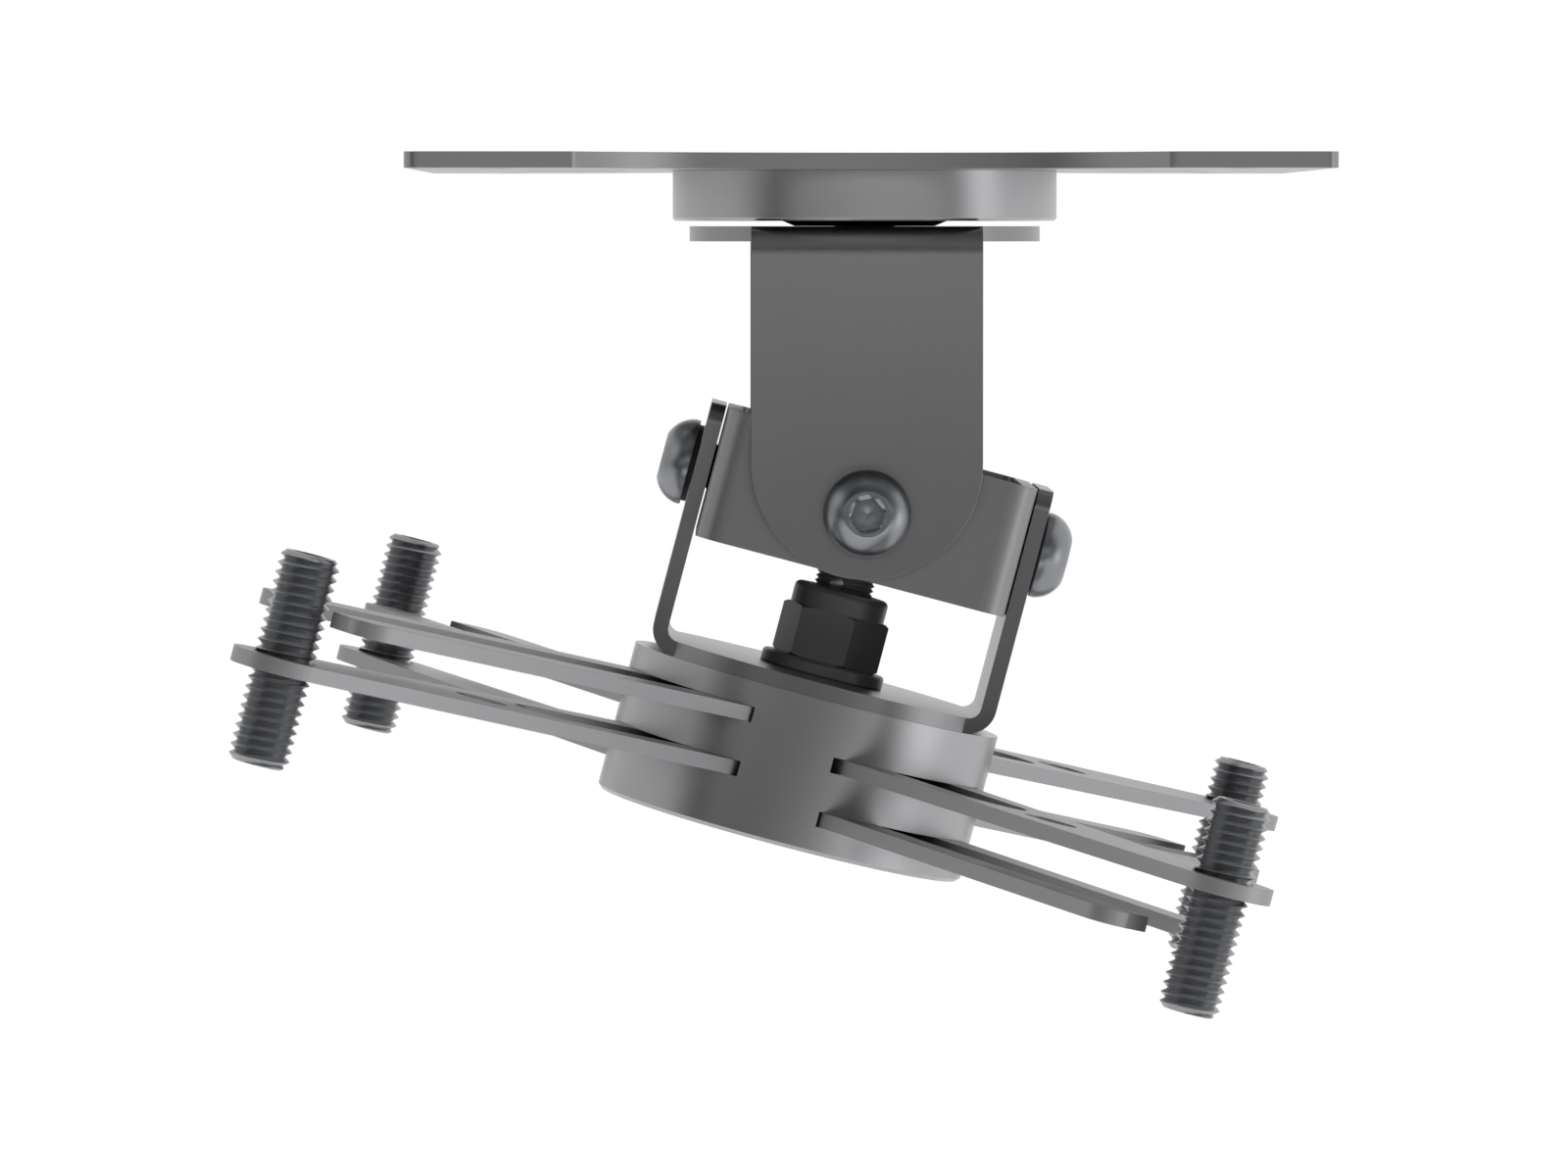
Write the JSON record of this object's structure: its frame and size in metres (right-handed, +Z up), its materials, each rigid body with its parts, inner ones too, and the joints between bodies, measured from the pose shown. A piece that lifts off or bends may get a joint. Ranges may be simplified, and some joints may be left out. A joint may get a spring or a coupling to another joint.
{
  "type": "projector ceiling mount",
  "caption": "Steel ceiling mount for a projector: plate, swivel drum, yoke, gimbal ring and bracket above a hub whose sliding flat arms carry hollow threaded studs.",
  "frame": {"origin": "centre of the ceiling plate's top face", "axes": "+Z up into the ceiling, +X to the picture's right, +Y away from the camera"},
  "size_m": [0.2117, 0.2182, 0.1674],
  "materials": {
    "sheet_steel": "satin grey",
    "turned_steel": "satin grey",
    "bright_steel": "polished",
    "stud_steel": "satin",
    "black_steel": "black oxide",
    "black_nylon": "matte"
  },
  "bodies": {
    "base": {"ceiling_plate": "sheet_steel", "ceiling_drum": "turned_steel", "swivel_bolt": "black_steel", "swivel_friction_washer": "black_nylon", "swivel_washer": "black_steel", "swivel_lock_nut": "black_steel", "swivel_nut_insert": "black_nylon"},
    "yoke_body": {"yoke": "sheet_steel"},
    "ring_body": {"gimbal_ring": "sheet_steel", "front_pivot_screw": "bright_steel", "rear_pivot_screw": "bright_steel", "left_pivot_screw": "bright_steel", "right_pivot_screw": "bright_steel", "pivot_head_washers": "black_nylon", "pivot_nuts": "black_steel"},
    "bracket_body": {"u_bracket": "sheet_steel"},
    "hub_body": {"hub": "turned_steel", "hub_base": "turned_steel", "hub_bolt": "black_steel", "hub_washer": "black_steel", "hub_lock_nut": "black_steel", "hub_nut_insert": "black_nylon"},
    "bar_one": {"level_one_bar": "sheet_steel"},
    "stud_one": {"level_one_stud": "stud_steel"},
    "bar_two": {"level_two_bar": "sheet_steel"},
    "stud_two": {"level_two_stud": "stud_steel"},
    "bar_three": {"level_three_bar": "sheet_steel"},
    "stud_three": {"level_three_stud": "stud_steel"},
    "bar_four": {"level_four_bar": "sheet_steel"},
    "stud_four": {"level_four_stud": "stud_steel"}
  },
  "joints": [
    {"name": "yoke_swivel", "type": "hinge", "parent": "base", "child": "yoke_body", "pos_m": [0, 0, -0.0157], "axis": [0, 0, 1], "continuous": true},
    {"name": "ring_roll", "type": "hinge", "parent": "yoke_body", "child": "ring_body", "pos_m": [0, 0, -0.0706], "axis": [0, 1, 0], "range_deg": [-34.8, 5.2]},
    {"name": "bracket_pitch", "type": "hinge", "parent": "ring_body", "child": "bracket_body", "pos_m": [0, 0, -0.0706], "axis": [0.9668, 0, -0.2554], "range_deg": [-20, 20]},
    {"name": "hub_swivel", "type": "hinge", "parent": "bracket_body", "child": "hub_body", "pos_m": [0, 0, -0.0706], "axis": [0.2554, 0, 0.9668], "continuous": true},
    {"name": "bar_one_slide", "type": "slide", "parent": "hub_body", "child": "bar_one", "axis": [0.7352, 0.6494, -0.1942], "range_m": [-0.025, 0.025]},
    {"name": "bar_two_slide", "type": "slide", "parent": "hub_body", "child": "bar_two", "axis": [0.6279, -0.7604, -0.1659], "range_m": [-0.025, 0.025]},
    {"name": "bar_three_slide", "type": "slide", "parent": "hub_body", "child": "bar_three", "axis": [-0.7352, -0.6494, 0.1942], "range_m": [-0.025, 0.025]},
    {"name": "bar_four_slide", "type": "slide", "parent": "hub_body", "child": "bar_four", "axis": [-0.6279, 0.7604, 0.1659], "range_m": [-0.025, 0.025]},
    {"name": "stud_one_screw", "type": "slide", "parent": "bar_one", "child": "stud_one", "axis": [0.2554, 0, 0.9668], "range_m": [-0.006, 0.006]},
    {"name": "stud_two_screw", "type": "slide", "parent": "bar_two", "child": "stud_two", "axis": [0.2554, 0, 0.9668], "range_m": [-0.006, 0.006]},
    {"name": "stud_three_screw", "type": "slide", "parent": "bar_three", "child": "stud_three", "axis": [0.2554, 0, 0.9668], "range_m": [-0.006, 0.006]},
    {"name": "stud_four_screw", "type": "slide", "parent": "bar_four", "child": "stud_four", "axis": [0.2554, 0, 0.9668], "range_m": [-0.006, 0.006]}
  ]
}
